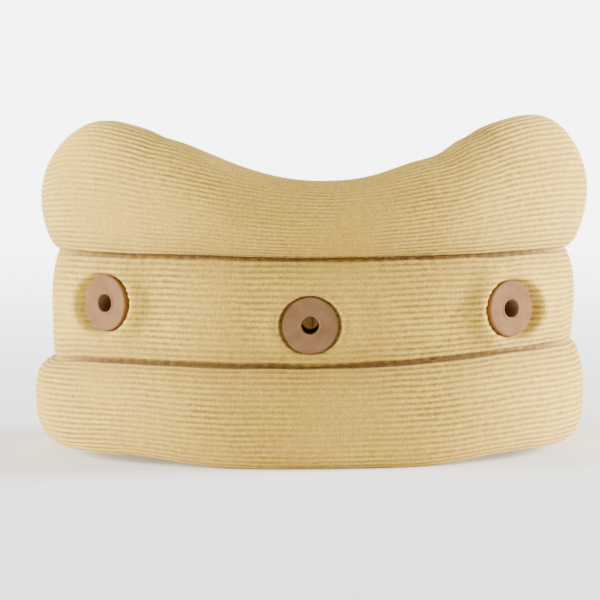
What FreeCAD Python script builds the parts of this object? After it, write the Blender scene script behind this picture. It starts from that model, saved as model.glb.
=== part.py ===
import FreeCAD, Part
import math
import os

from FreeCAD import Vector

# Soft cervical collar with a stiffened middle band, closed around the neck.
#
# A long slab of polyurethane foam in a ribbed knit sleeve is bent into an oval.
# Two rows of stitching divide it into an upper roll, a middle band and a lower
# roll. A plastic support plate lies under the knit of the band at the front, and
# three vent eyelets clamp plate, foam and knit together. The upper roll dips
# under the chin, rises under the jaw and falls towards the nape. The ends nearly
# meet at the nape, where a hook tab on the left end closes on a loop strip.
#
# Frame: millimetres, +Z up, the wearer faces -Y, origin at the centre of the
# base. The foam flexes behind the ears: each wing turns outwards about an upright
# line on the outer face, so the slab is cut there into a front and two wings.

# Plan of the middle of the wall: a superellipse, flatter at the front.
HALF_WIDTH = 70.5
FRONT_DEPTH = 55.5
BACK_DEPTH = 60.5
PLAN_POWER = 2.2
CENTRE_Y = (FRONT_DEPTH - BACK_DEPTH) / 2

# Section of the wall, as distance from the middle of the wall and height.
ROLL_HALF = 12.5
SEAM_LOW_Z = 30.0
SEAM_HIGH_Z = 60.0
SEAM_LOW_OUT = 8.6
SEAM_HIGH_OUT = 6.6
SEAM_IN = 8.0
BAND_OUT = 9.7
BAND_IN = 9.3
LOW_BULGE_Z = 16.0
FOOT_FLAT = 5.0
FOOT_TRIM = 0.06
ROUND = 0.55

# Height of the crest along the wall.
CHIN_Z = 83.4
JAW_Z = 100.8
NAPE_Z = 72.0
JAW_AT = 70.0

# Lengths along the middle of the wall, from the front centre.
FLEX_AT = 122.0
FLEX_GAP = 0.3
END_GAP = 1.5
TAPER = 14.0
TAPER_SHARE = 0.45
TAPER_POWER = 1.5
TAPER_FOOT = 2.4
TAPER_CREST = 5.0
FLEX_AXIS_OUT = ROLL_HALF + 0.6

# Places where sections are drawn for the lofts.
FRONT_STATIONS = 20
WING_STATIONS = 10
TAPER_STATIONS = 7
STATION_MARGIN = 0.5

# Layers.
KNIT = 1.2
FOAM_INSET = 1.4

# Support plate.
PLATE_HALF_LENGTH = 92.0
PLATE_IN = 5.2
PLATE_THICK = 1.2
PLATE_LOW_Z = 33.5
PLATE_HIGH_Z = 56.5
PLATE_CORNER = 8.0
PLATE_ROOM = 0.3

# Eyelets: place along the wall and height of each.
EYELETS = {"left": (-58.0, 48.0), "centre": (-0.7, 42.3), "right": (55.0, 45.5)}
FLANGE_R = 8.25
FLANGE_BACK = 9.35
FLANGE_THICK = 1.5
LIP_R = 3.6
LIP_RISE = 0.15
VENT_R = 2.6
BARREL_R = 3.7
WASHER_R = 8.0
WASHER_BORE_R = 3.75
WASHER_FACE = 10.2
WASHER_THICK = 1.3
BARREL_PROUD = 0.3
PUNCHED_R = 3.95

# Sewing thread, lying in the valleys of the two stitched rows.
THREAD = 0.7
THREAD_HIGH_DROP = 0.5
THREAD_LOW_OUT = 9.5
THREAD_HIGH_OUT = 7.6
THREAD_IN = 9.0

# Closure, measured along the nape from its centre, positive towards the right.
STRAP_LOW_Z = 32.5
STRAP_HIGH_Z = 57.5
STRAP_THICK = 1.2
STRAP_BASE_OUT = 9.6
STRAP_TIP_OUT = 11.4
ANCHOR_START = -46.0
PEEL_AT = -16.0
PEEL_GAP = 0.3
TAB_LEVEL_AT = 12.0
TAB_END = 54.0
TAB_CORNER = 9.0
HOOK_START = 14.0
HOOK_END = 52.0
HOOK_THICK = 0.9
HOOK_INSET_Z = 1.0
LOOP_START = 12.0
LOOP_END = 72.0
LOOP_THICK = 0.9
LOOP_OUT = 9.5
CLOSURE_CORNER = 3.0
STITCH_WIDE = 0.6
STITCH_PROUD = 0.25
STITCH_MARGIN = 2.5

# Binding that closes each end of the sleeve.
BINDING_LENGTH = 7.0
BINDING_THICK = 0.7
BINDING_GAP = 0.05

BIG = 400.0


# ---------------------------------------------------------------- plan of the wall


def plan_half():
    """Points of the right half of the plan, front centre to nape centre, with their lengths."""
    steps = 4000
    power = 2 / PLAN_POWER
    points = []
    for i in range(steps + 1):
        angle = math.pi * i / steps
        depth = FRONT_DEPTH if angle < math.pi / 2 else BACK_DEPTH
        x = HALF_WIDTH * abs(math.sin(angle)) ** power
        y = -math.copysign(depth * abs(math.cos(angle)) ** power, math.cos(angle))
        points.append((x, y))
    lengths = [0.0]
    for (x0, y0), (x1, y1) in zip(points, points[1:]):
        lengths.append(lengths[-1] + math.hypot(x1 - x0, y1 - y0))
    return points, lengths


PLAN, PLAN_LENGTHS = plan_half()
NAPE_AT = PLAN_LENGTHS[-1]
END_AT = NAPE_AT - END_GAP


def plan_point(at):
    """Middle of the wall at a length from the front centre, negative on the left."""
    length = min(abs(at), NAPE_AT)
    low, high = 0, len(PLAN_LENGTHS) - 1
    while high - low > 1:
        middle = (low + high) // 2
        if PLAN_LENGTHS[middle] <= length:
            low = middle
        else:
            high = middle
    share = (length - PLAN_LENGTHS[low]) / (PLAN_LENGTHS[high] - PLAN_LENGTHS[low])
    x = PLAN[low][0] + share * (PLAN[high][0] - PLAN[low][0])
    y = PLAN[low][1] + share * (PLAN[high][1] - PLAN[low][1])
    return math.copysign(x, at), y


def plan_normal(at):
    """Outward normal of the wall, in plan."""
    x, y = plan_point(at)
    depth = FRONT_DEPTH if y < 0 else BACK_DEPTH
    nx = math.copysign(abs(x) ** (PLAN_POWER - 1) / HALF_WIDTH**PLAN_POWER, x)
    ny = math.copysign(abs(y) ** (PLAN_POWER - 1) / depth**PLAN_POWER, y)
    size = math.hypot(nx, ny)
    return nx / size, ny / size


def place(at, out, z):
    """The point at a length along the wall, a distance out from its middle, and a height."""
    x, y = plan_point(at)
    nx, ny = plan_normal(at)
    return Vector(x + nx * out, y + ny * out + CENTRE_Y, z)


def nape(along):
    """Length from the front centre of a place along the nape, positive to the right."""
    return NAPE_AT - along if along >= 0 else -(NAPE_AT + along)


def crest_z(at):
    """Height of the crest: low at the chin, highest at the jaw, lowest at the nape."""
    length = abs(at)
    if length < JAW_AT:
        wave = (1 + math.cos(math.pi * length / JAW_AT)) / 2
        return JAW_Z - (JAW_Z - CHIN_Z) * wave
    wave = (1 - math.cos(math.pi * (length - JAW_AT) / (END_AT - JAW_AT))) / 2
    return JAW_Z - (JAW_Z - NAPE_Z) * wave


# ---------------------------------------------------------------- sections and lofts


def section(at, inset):
    """Outline of the wall at one place, drawn inside its outer face by inset."""
    past = max(0.0, (abs(at) - (END_AT - TAPER)) / TAPER) ** TAPER_POWER
    squeeze = 1 - TAPER_SHARE * past
    half = ROLL_HALF * squeeze - inset
    top = crest_z(at) - TAPER_CREST * past - inset
    foot = TAPER_FOOT * past + inset - FOOT_TRIM
    flat = FOOT_FLAT * squeeze
    low_out = SEAM_LOW_OUT * squeeze - inset
    high_out = SEAM_HIGH_OUT * squeeze - inset
    seam_in = SEAM_IN * squeeze - inset
    band_out = BAND_OUT * squeeze - inset
    band_in = BAND_IN * squeeze - inset
    bulge_z = SEAM_HIGH_Z + 0.47 * (top - SEAM_HIGH_Z)
    rise = top - bulge_z
    climb = bulge_z - SEAM_HIGH_Z
    drop = LOW_BULGE_Z - foot
    low_z, high_z = SEAM_LOW_Z, SEAM_HIGH_Z
    under_z = high_z + 0.1 * climb
    full_z = bulge_z - 0.35 * climb
    over_z = bulge_z + ROUND * rise
    round_z = LOW_BULGE_Z - ROUND * drop
    curves = [
        [(-flat, foot), (flat, foot)],
        [(flat, foot), (0.8 * half, foot), (half, round_z), (half, LOW_BULGE_Z)],
        [(half, LOW_BULGE_Z), (half, 22), (half - 1.0, 28.0), (low_out, low_z)],
        [(low_out, low_z), (band_out, 35), (band_out, 54), (high_out, high_z)],
        [(high_out, high_z), (half - 2.0, under_z), (half, full_z), (half, bulge_z)],
        [(half, bulge_z), (half, over_z), (ROUND * half, top), (0, top)],
        [(0, top), (-ROUND * half, top), (-half, over_z), (-half, bulge_z)],
        [(-half, bulge_z), (-half, full_z), (2.0 - half, under_z), (-seam_in, high_z)],
        [(-seam_in, high_z), (-band_in, 54), (-band_in, 35), (-seam_in, low_z)],
        [(-seam_in, low_z), (-half + 1.0, 28.0), (-half, 22), (-half, LOW_BULGE_Z)],
        [(-half, LOW_BULGE_Z), (-half, round_z), (-0.8 * half, foot), (-flat, foot)],
    ]
    edges = []
    for poles in curves:
        curve = Part.BezierCurve()
        curve.setPoles([place(at, out, z) for out, z in poles])
        edges.append(curve.toShape())
    return Part.Wire(edges)


def stations(start, end):
    """Where the sections of a stretch of wall are drawn: closer together in the taper."""
    taper_at = END_AT - TAPER
    marks = [FLEX_AT * i / FRONT_STATIONS for i in range(FRONT_STATIONS)]
    marks += [FLEX_AT - FLEX_GAP, FLEX_AT + FLEX_GAP]
    marks += [FLEX_AT + (taper_at - FLEX_AT) * i / WING_STATIONS for i in range(1, WING_STATIONS)]
    marks += [taper_at + TAPER * i / TAPER_STATIONS for i in range(TAPER_STATIONS + 1)]
    marks += [-at for at in marks[1:]]
    low, high = min(start, end), max(start, end)
    between = [at for at in sorted(marks) if low + STATION_MARGIN < at < high - STATION_MARGIN]
    return [low] + between + [high]


def wall(start, end, inset):
    """The filled wall between two places, drawn inside its outer face by inset."""
    return Part.makeLoft([section(at, inset) for at in stations(start, end)], True, True)


def stand_flat(shape):
    """Trims the underside to the level it stands on."""
    below = Part.makeBox(BIG, BIG, BIG, Vector(-BIG / 2, -BIG / 2, -BIG))
    return shape.cut(below)


def strip(places, outs, thick, low_z, high_z):
    """An upright band that follows the wall, its inner face a given distance out."""
    inner = Part.BSplineCurve()
    inner.interpolate([place(at, out, low_z) for at, out in zip(places, outs)])
    outer = Part.BSplineCurve()
    outer.interpolate([place(at, out + thick, low_z) for at, out in zip(places, outs)])
    outline = Part.Wire(
        [
            inner.toShape(),
            Part.makeLine(inner.EndPoint, outer.EndPoint),
            outer.toShape(),
            Part.makeLine(outer.StartPoint, inner.StartPoint),
        ]
    )
    return Part.Face(outline).extrude(Vector(0, 0, high_z - low_z))


def wall_strip(start, end, out, thick, low_z, high_z):
    """A band along the wall, from one length to another, at a constant distance out."""
    count = max(6, round(abs(end - start) / 6))
    places = [start + (end - start) * i / count for i in range(count + 1)]
    return strip(places, [out] * len(places), thick, low_z, high_z)


def nape_strip(start, end, out_of, thick, low_z, high_z):
    """A band across the nape, with its distance out given along the nape."""
    count = max(6, round((end - start) / 4))
    alongs = [start + (end - start) * i / count for i in range(count + 1)]
    return strip([nape(a) for a in alongs], [out_of(a) for a in alongs], thick, low_z, high_z)


def round_corners(band, at, radius):
    """Rounds the upper and lower corners of a band's end that lies at one place."""
    nx, ny = plan_normal(at)
    normal = Vector(nx, ny, 0)
    spot = place(at, 0, 0)
    along = Vector(-ny, nx, 0)
    found = []
    for edge in band.Edges:
        if len(edge.Vertexes) != 2:
            continue
        a, b = (v.Point for v in edge.Vertexes)
        direction = b.sub(a)
        level = abs(direction.z) < 1e-6
        across = direction.Length > 1e-6 and abs(direction.normalize().dot(normal)) > 0.99
        at_end = abs(a.sub(spot).dot(along)) < 0.5 and abs(b.sub(spot).dot(along)) < 0.5
        if level and across and at_end and abs(a.sub(spot).dot(normal)) < 40:
            found.append(edge)
    return band.makeFillet(radius, found)


# ---------------------------------------------------------------- soft parts


def punch(shape, height_margin=40.0):
    """Cuts the three eyelet holes right through a layer."""
    for at, z in EYELETS.values():
        nx, ny = plan_normal(at)
        start = place(at, -height_margin, z)
        hole = Part.makeCylinder(PUNCHED_R, 2 * height_margin, start, Vector(nx, ny, 0))
        shape = shape.cut(hole)
    return shape


def front_sleeve():
    half = FLEX_AT - FLEX_GAP
    outer = wall(-half, half, 0.0)
    cavity = wall(-half - 2, half + 2, KNIT)
    return stand_flat(punch(outer.cut(cavity)))


def front_foam():
    half = FLEX_AT - FLEX_GAP
    foam = wall(-half, half, FOAM_INSET)
    pocket = wall_strip(
        -PLATE_HALF_LENGTH - PLATE_ROOM,
        PLATE_HALF_LENGTH + PLATE_ROOM,
        PLATE_IN - PLATE_ROOM,
        ROLL_HALF,
        PLATE_LOW_Z - PLATE_ROOM,
        PLATE_HIGH_Z + PLATE_ROOM,
    )
    return punch(foam.cut(pocket))


def wing_sleeve(side):
    start = FLEX_AT + FLEX_GAP
    outer = wall(side * start, side * END_AT, 0.0)
    cavity = wall(side * (start - 2), side * (END_AT - KNIT), KNIT)
    return stand_flat(outer.cut(cavity))


def wing_foam(side):
    start = FLEX_AT + FLEX_GAP
    return wall(side * start, side * (END_AT - FOAM_INSET), FOAM_INSET)


def end_binding(side):
    """Knit tape folded over the end of a wing."""
    start = END_AT - BINDING_LENGTH
    tape = wall(side * start, side * (END_AT + BINDING_THICK), -BINDING_THICK)
    inside = wall(side * (start - 2), side * (END_AT + BINDING_GAP), -BINDING_GAP)
    return tape.cut(inside)


def seam_thread(start, end, out, z):
    """Thread of one stitched row, outside and inside the wall."""
    low, high = z - THREAD / 2, z + THREAD / 2
    outside = wall_strip(start, end, out, THREAD, low, high)
    inside = wall_strip(start, end, -THREAD_IN - THREAD, THREAD, low, high)
    return Part.makeCompound([outside, inside])


# ---------------------------------------------------------------- hard parts


def support_plate():
    plate = wall_strip(
        -PLATE_HALF_LENGTH, PLATE_HALF_LENGTH, PLATE_IN, PLATE_THICK, PLATE_LOW_Z, PLATE_HIGH_Z
    )
    for side in (-1, 1):
        plate = round_corners(plate, side * PLATE_HALF_LENGTH, PLATE_CORNER)
    return punch(plate)


def turned(points, at, z):
    """A turned part from (radius, distance out) points, its axis out through the wall."""
    outline = Part.makePolygon([Vector(r, 0, h) for r, h in points + points[:1]])
    part = Part.Face(outline).revolve(Vector(0, 0, 0), Vector(0, 0, 1), 360)
    nx, ny = plan_normal(at)
    part.Placement = FreeCAD.Placement(
        place(at, 0, z), FreeCAD.Rotation(Vector(0, 0, 1), Vector(nx, ny, 0))
    )
    return part


def arc_points(centre, radius, start, end, steps=6):
    """Points of an arc in a turned part's outline, by angles in degrees."""
    angles = [math.radians(start + (end - start) * i / steps) for i in range(steps + 1)]
    return [(centre[0] + radius * math.cos(a), centre[1] + radius * math.sin(a)) for a in angles]


def eyelet(at, z):
    """Flange with a rounded rim and a low round lip, and the barrel behind it."""
    face = FLANGE_BACK + FLANGE_THICK
    rim = 0.6
    lip = (LIP_R - VENT_R) / 2
    meets_face = math.degrees(math.asin((lip - LIP_RISE) / lip))
    points = [(VENT_R, -WASHER_FACE - WASHER_THICK - BARREL_PROUD)]
    points += arc_points((VENT_R + lip, face + LIP_RISE - lip), lip, 180, meets_face)
    points += arc_points((FLANGE_R - rim, face - rim), rim, 90, 0)
    points += [(FLANGE_R, FLANGE_BACK + 0.2), (FLANGE_R - 0.3, FLANGE_BACK)]
    points += [(BARREL_R, FLANGE_BACK), (BARREL_R, -WASHER_FACE - WASHER_THICK - BARREL_PROUD)]
    return turned(points, at, z)


def washer(at, z):
    """Flat ring that the barrel snaps into on the skin side."""
    face = -WASHER_FACE - WASHER_THICK
    rim = 0.5
    points = [(WASHER_BORE_R, -WASHER_FACE), (WASHER_BORE_R, face)]
    points += arc_points((WASHER_R - rim, face + rim), rim, -90, 0)
    points += [(WASHER_R, -WASHER_FACE)]
    return turned(points, at, z)


# ---------------------------------------------------------------- closure


def tab_out(along):
    """The tab leaves the anchor on the band and rises to lie over the loop strip."""
    share = min(1.0, max(0.0, (along - PEEL_AT) / (TAB_LEVEL_AT - PEEL_AT)))
    smooth = share * share * (3 - 2 * share)
    return STRAP_BASE_OUT + (STRAP_TIP_OUT - STRAP_BASE_OUT) * smooth


def strap_anchor():
    band = nape_strip(
        ANCHOR_START, PEEL_AT, lambda a: STRAP_BASE_OUT, STRAP_THICK, STRAP_LOW_Z, STRAP_HIGH_Z
    )
    return round_corners(band, nape(ANCHOR_START), CLOSURE_CORNER)


def tab_strap():
    band = nape_strip(
        PEEL_AT + PEEL_GAP, TAB_END, tab_out, STRAP_THICK, STRAP_LOW_Z, STRAP_HIGH_Z
    )
    return round_corners(band, nape(TAB_END), TAB_CORNER)


def hook_patch():
    band = nape_strip(
        HOOK_START,
        HOOK_END,
        lambda a: STRAP_TIP_OUT - HOOK_THICK,
        HOOK_THICK - 0.02,
        STRAP_LOW_Z + HOOK_INSET_Z,
        STRAP_HIGH_Z - HOOK_INSET_Z,
    )
    return round_corners(band, nape(HOOK_END), TAB_CORNER - 1.5)


def loop_strip():
    band = nape_strip(
        LOOP_START,
        LOOP_END,
        lambda a: LOOP_OUT,
        LOOP_THICK - 0.2,
        STRAP_LOW_Z - 0.5,
        STRAP_HIGH_Z + 0.5,
    )
    band = round_corners(band, nape(LOOP_END), CLOSURE_CORNER)
    return round_corners(band, nape(LOOP_START), CLOSURE_CORNER)


def stitch_frame(start, end, out, low_z, high_z):
    """A row of stitching round a rectangle: two level rows and two upright ones."""
    rows = [
        (start, end, low_z, low_z + STITCH_WIDE),
        (start, end, high_z - STITCH_WIDE, high_z),
        (start, start + STITCH_WIDE, low_z + STITCH_WIDE, high_z - STITCH_WIDE),
        (end - STITCH_WIDE, end, low_z + STITCH_WIDE, high_z - STITCH_WIDE),
    ]
    bands = [nape_strip(a, b, lambda _: out, STITCH_PROUD, low, high) for a, b, low, high in rows]
    return bands[0].multiFuse(bands[1:])


def anchor_stitching():
    return stitch_frame(
        ANCHOR_START + STITCH_MARGIN,
        PEEL_AT - STITCH_MARGIN,
        STRAP_BASE_OUT + STRAP_THICK + 0.01,
        STRAP_LOW_Z + STITCH_MARGIN,
        STRAP_HIGH_Z - STITCH_MARGIN,
    )


def hook_stitching():
    return stitch_frame(
        HOOK_START + STITCH_MARGIN,
        HOOK_END - TAB_CORNER / 2,
        STRAP_TIP_OUT + STRAP_THICK + 0.01,
        STRAP_LOW_Z + STITCH_MARGIN + HOOK_INSET_Z,
        STRAP_HIGH_Z - STITCH_MARGIN - HOOK_INSET_Z,
    )


def loop_stitching():
    """Only the edges of the loop strip are sewn, just inside its outline."""
    return stitch_frame(
        LOOP_START + 1.0,
        LOOP_END - 1.0,
        LOOP_OUT + LOOP_THICK - 0.19,
        STRAP_LOW_Z - 0.2,
        STRAP_HIGH_Z + 0.2,
    )


# ---------------------------------------------------------------- assembly


def build():
    parts = {
        "knit_sleeve_front": front_sleeve(),
        "foam_core_front": front_foam(),
        "support_plate": support_plate(),
        "strap_anchor": strap_anchor(),
        "anchor_stitching": anchor_stitching(),
        "tab_strap": tab_strap(),
        "hook_patch": hook_patch(),
        "hook_stitching": hook_stitching(),
        "loop_strip": loop_strip(),
        "loop_stitching": loop_stitching(),
    }
    for name, (at, z) in EYELETS.items():
        parts["eyelet_" + name] = eyelet(at, z)
        parts["eyelet_washer_" + name] = washer(at, z)
    stretches = {
        "front": (-FLEX_AT + FLEX_GAP, FLEX_AT - FLEX_GAP),
        "left": (-END_AT + BINDING_LENGTH + 1, -FLEX_AT - FLEX_GAP),
        "right": (FLEX_AT + FLEX_GAP, END_AT - BINDING_LENGTH - 1),
    }
    for name, (start, end) in stretches.items():
        parts["lower_seam_thread_" + name] = seam_thread(start, end, THREAD_LOW_OUT, SEAM_LOW_Z)
        parts["upper_seam_thread_" + name] = seam_thread(
            start, end, THREAD_HIGH_OUT, SEAM_HIGH_Z - THREAD_HIGH_DROP
        )
    for name, side in (("left", -1), ("right", 1)):
        parts["knit_sleeve_" + name] = wing_sleeve(side)
        parts["foam_core_" + name] = wing_foam(side)
        parts["end_binding_" + name] = end_binding(side)
    return parts


def main():
    os.makedirs("parts", exist_ok=True)
    box = FreeCAD.BoundBox()
    for name, shape in build().items():
        box.add(shape.BoundBox)
        print(
            f"{name}: solids {len(shape.Solids)}, valid {shape.isValid()}, "
            f"volume {shape.Volume:.0f} mm3"
        )
        shape.exportStep(f"parts/{name}.step")
    print(f"box {box}")
    for name, at, out in (
        ("left flex axis", -FLEX_AT, FLEX_AXIS_OUT),
        ("right flex axis", FLEX_AT, FLEX_AXIS_OUT),
        ("peel axis", nape(PEEL_AT), STRAP_BASE_OUT + STRAP_THICK + 0.1),
    ):
        spot = place(at, out, 0)
        print(f"{name} at {spot.x:.3f} {spot.y:.3f} mm")


main()
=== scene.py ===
import math

import bpy
import numpy as np
from mathutils import Matrix, Vector


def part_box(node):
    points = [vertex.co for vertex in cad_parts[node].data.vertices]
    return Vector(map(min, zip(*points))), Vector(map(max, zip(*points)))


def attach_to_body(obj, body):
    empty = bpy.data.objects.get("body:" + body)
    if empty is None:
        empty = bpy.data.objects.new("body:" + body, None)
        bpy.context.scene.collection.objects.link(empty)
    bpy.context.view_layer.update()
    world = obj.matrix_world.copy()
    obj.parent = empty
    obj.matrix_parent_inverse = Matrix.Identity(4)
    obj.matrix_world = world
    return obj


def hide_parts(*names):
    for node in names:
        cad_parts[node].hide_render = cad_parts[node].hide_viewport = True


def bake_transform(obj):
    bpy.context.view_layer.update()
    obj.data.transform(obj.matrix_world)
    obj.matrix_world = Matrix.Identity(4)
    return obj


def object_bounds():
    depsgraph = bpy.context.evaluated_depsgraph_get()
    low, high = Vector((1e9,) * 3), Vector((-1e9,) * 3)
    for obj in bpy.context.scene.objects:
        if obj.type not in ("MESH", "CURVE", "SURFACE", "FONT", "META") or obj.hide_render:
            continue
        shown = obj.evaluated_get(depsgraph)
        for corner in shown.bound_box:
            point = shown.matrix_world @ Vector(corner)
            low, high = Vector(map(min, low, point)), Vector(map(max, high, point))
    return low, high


# Looks of the soft cervical collar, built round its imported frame.
#
# Every fabric surface is a grid over the wall of the collar: s runs along the
# middle of the wall from the front centre (negative on the left), and the rows
# run round the section. Shape functions work in millimetres.

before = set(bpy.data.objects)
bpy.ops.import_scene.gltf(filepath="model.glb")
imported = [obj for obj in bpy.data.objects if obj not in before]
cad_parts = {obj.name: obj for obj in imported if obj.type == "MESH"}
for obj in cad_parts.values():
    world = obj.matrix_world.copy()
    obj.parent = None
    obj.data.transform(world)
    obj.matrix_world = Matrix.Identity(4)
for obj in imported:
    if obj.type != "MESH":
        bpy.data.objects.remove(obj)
CAD_LOW, CAD_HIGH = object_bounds()
MM = 0.001

# Plan of the middle of the wall, as in the frame.
ROLL_HALF = 12.5
HALF_WIDTH = CAD_HIGH.x / MM - ROLL_HALF
FRONT_DEPTH = 55.5
BACK_DEPTH = 60.5
CENTRE_Y = -2.5
PLAN_POWER = 2.2
END_GAP = 1.5

# Section of the wall, and how it tapers towards the two back ends.
TAPER = 14.0
TAPER_SHARE = 0.45
TAPER_POWER = 1.5
TAPER_FOOT = 2.4
TAPER_CREST = 5.0
NAPE_Z = 72.0
ROUND = 0.55
FOOT_FLAT = 5.0
LOW_BULGE_Z = 16.0
LOW_TURN_Z = 23.0
HIGH_BULGE_SHARE = 0.47
INNER_ROOT = 7.8
INNER_BAND_OUT = 9.5
BAND_OUT = 9.4
BAND_CROWN = 2.3

# Dips and lobes of the crest: rise, place along the wall, reach.
CREST_SHAPES = (
    (-3.0, -97, 20),
    (-0.3, 96, 20),
    (-0.4, -45, 3.5),
    (-1.5, 39, 7),
    (-0.6, 50, 3.5),
    (1.5, -70, 13),
    (0.9, 84, 14),
    (0.8, -30, 18),
)

# Where the cover is divided, and the depths of the stretch where the side turns to the back.
CUT_AT = 97.0
BEND_START_Y = 0.0
BEND_END_Y = 44.0

# Ribbed knit. The section has seven panels: lower roll, band, upper roll outside, upper
# roll inside, inner band, lower roll inside and underside.
RIBS = (21, 19, 28, 28, 19, 21, 6)
BAND_PANEL = 1
CREST_PANEL = 3
INNER_BAND_PANEL = 4
BANDS = (BAND_PANEL, INNER_BAND_PANEL)
ROWS_PER_RIB = 5
RIB_HEIGHT = 0.32
RIB_WANDER = 0.12
COURSE = 1.25
# Painted shade in the creases at both stitched rows: full within FOLD_DEEP of a row, gone by
# FOLD_MOUTH, weaker towards the sides, with a soft painted shade out to FOLD_REACH.
FOLD_DEEP = 1.0
FOLD_MOUTH = 2.8
FOLD_REACH = 11.0
FOLD_SOFT = 0.16
FOLD_SIDE_FADE = 0.75
EYELET_CUT = 4.6
COLUMN_STEP = 2.3
FINE_STEP = 1.05
FINE_REACH = 13.0
BAND_COLUMNS = 311
BAND_TUCK = 2
KNIT_ATTRIBUTES = ("wale", "along", "crease_shade", "blur")

# Dimple round each eyelet, and the level of the cloth under the washers inside.
DIMPLE_START = 8.15
DIMPLE_REACH = 8.95
DIMPLE_RIDGE = 0.7
DIMPLE_SLACK = 2.2
DIMPLE_FLOOR = 9.0
INNER_FLOOR = -9.7
# Painted shade round each eyelet: a dark rim where the cloth meets the flange, and a softer painted
# shade out to SHADE_REACH.
SHADE_REACH = 12.5
RIM_SHADE = 0.38
RIM_SOFT_SHADE = 0.17

# Cloth simulation of the cover, on a coarse grid.
SIM_COLUMNS = 117
SIM_ROWS = (8, 8, 10, 10, 8, 8, 3)
SIM_PRESSURE = 4.0
SIM_SLACK = 0.05
SIM_FRAMES = 20
SIM_CAP = 0.9

# Stitched rows: distances out from the middle of the wall, and the size of a stitch.
LOW_ROOT = 7.2
HIGH_ROOT = 5.8
STITCH_PROUD = 0.35
INNER_STITCH_OUT = -8.3
STITCH_PITCH = 3.6
STITCH_GAP = 0.5
STITCH_RADIUS = 0.36
STITCH_SIDES = 7
SEAM_END_GAP = 9

# Foam.
FOAM_INSET = 1.5
FOAM_ROWS = (9, 8, 10, 10, 8, 9, 4)
FOAM_END = 2.5
FOAM_CUT = 5.2
FOAM_COLUMN_STEP = 3.0

# Tape over the two back ends.
TAPE_PANELS = (20, 16, 18, 18, 16, 20, 6)
TAPE_STITCH_PANELS = (40, 30, 34, 34, 30, 40, 10)
TAPE_THICK = 0.7
TAPE_EDGE = ((-7.0, 0.1), (-6.9, 0.45), (-6.6, TAPE_THICK))
TAPE_DOME = 2.2
TAPE_MIDDLE_Z = 40.0
TAPE_STITCH_AT = 5.2
TAPE_STITCH_LIFT = 0.75
TAPE_STITCH_ROWS = 4
TAPE_STITCH_RADIUS = 0.25
WEAVE_PITCH = 1.3

# Closure: places along the nape, positive to the right, and distances out of the wall.
STRAP_LOW_Z, STRAP_HIGH_Z = (v.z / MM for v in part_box("tab_strap"))
STRAP_MIDDLE_Z = 45.0
STRAP_THICK = 1.2
STRAP_BASE_OUT = 9.6
STRAP_TIP_OUT = 11.4
PEEL_AT = -16.0
PEEL_REACH = 5.0
TAB_LEVEL_AT = 12.0
ANCHOR_START = -46.0
TAB_END = 54.0
TIP_CORNER = 9.0
HOOK_START = 14.0
HOOK_END = 52.0
HOOK_CORNER = 7.5
LOOP_START = 12.0
LOOP_END = 72.0
LOOP_OUT = 9.45
LOOP_STITCH_OUT = 10.0
SMALL_CORNER = 3.0
BOX_STITCH_PITCH = 2.6
BOX_STITCH_RADIUS = 0.3
LOOP_STITCH_RADIUS = 0.22

EYELET_NAMES = ("left", "centre", "right")


# ---- plan of the wall


def plan_table():
    angle = np.linspace(0, math.pi, 4001)
    depth = np.where(angle < math.pi / 2, FRONT_DEPTH, BACK_DEPTH)
    power = 2 / PLAN_POWER
    x = HALF_WIDTH * np.abs(np.sin(angle)) ** power
    y = -np.sign(np.cos(angle)) * depth * np.abs(np.cos(angle)) ** power
    length = np.concatenate([[0.0], np.cumsum(np.hypot(np.diff(x), np.diff(y)))])
    return length, x, y


PLAN_LENGTH, PLAN_X, PLAN_Y = plan_table()
NAPE_AT = PLAN_LENGTH[-1]
END_AT = NAPE_AT - END_GAP


def plan(s):
    """Middle of the wall and its outward normal, in plan, at each s."""
    length = np.minimum(np.abs(s), NAPE_AT)
    side = np.sign(s)
    x = np.interp(length, PLAN_LENGTH, PLAN_X) * side
    y = np.interp(length, PLAN_LENGTH, PLAN_Y)
    depth = np.where(y < 0, FRONT_DEPTH, BACK_DEPTH)
    nx = np.sign(x) * np.abs(x) ** (PLAN_POWER - 1) / HALF_WIDTH**PLAN_POWER
    ny = np.sign(y) * np.abs(y) ** (PLAN_POWER - 1) / depth**PLAN_POWER
    size = np.hypot(nx, ny)
    return x, y + CENTRE_Y, nx / size, ny / size


def place(s, out, z):
    """Points in millimetres from wall places, distances out and heights."""
    x, y, nx, ny = plan(s)
    return np.stack([x + nx * out, y + ny * out, z + 0 * x], axis=-1)


def wall_normals(s):
    """Outward unit normals of the wall at each s."""
    _, _, nx, ny = plan(s)
    return np.stack([nx, ny, 0 * nx], axis=-1)


def nape(along):
    """s of a place along the nape, positive to the right."""
    along = np.asarray(along, float)
    return np.where(along >= 0, NAPE_AT - along, -(NAPE_AT + along))


def ease(x, low, high):
    """0 below low, 1 above high, smooth between."""
    t = np.clip((x - low) / (high - low), 0, 1)
    return t * t * (3 - 2 * t)


def bump(x, centre, reach):
    return np.exp(-(((x - centre) / reach) ** 2))


# ---- shape of the wall


def crest_z(s):
    """The crest: low at the chin, high under the jaw, a little higher on the right."""
    chin_at, chin_z = 3.0, 83.2
    right = s > chin_at
    peak_at = np.where(right, 71.0, -67.0)
    peak_z = np.where(right, 101.2, 100.4)
    share = (s - chin_at) / (peak_at - chin_at)
    front = peak_z - (peak_z - chin_z) * (1 + np.cos(math.pi * np.clip(share, 0, 1))) / 2
    past = np.clip((np.abs(s) - np.abs(peak_at)) / (END_AT - np.abs(peak_at)), 0, 1)
    back = peak_z - (peak_z - NAPE_Z) * (1 - np.cos(math.pi * past)) / 2
    z = np.where(share < 1, front, back)
    for rise, at, reach in CREST_SHAPES:
        z = z + rise * bump(s, at, reach)
    return z


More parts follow.
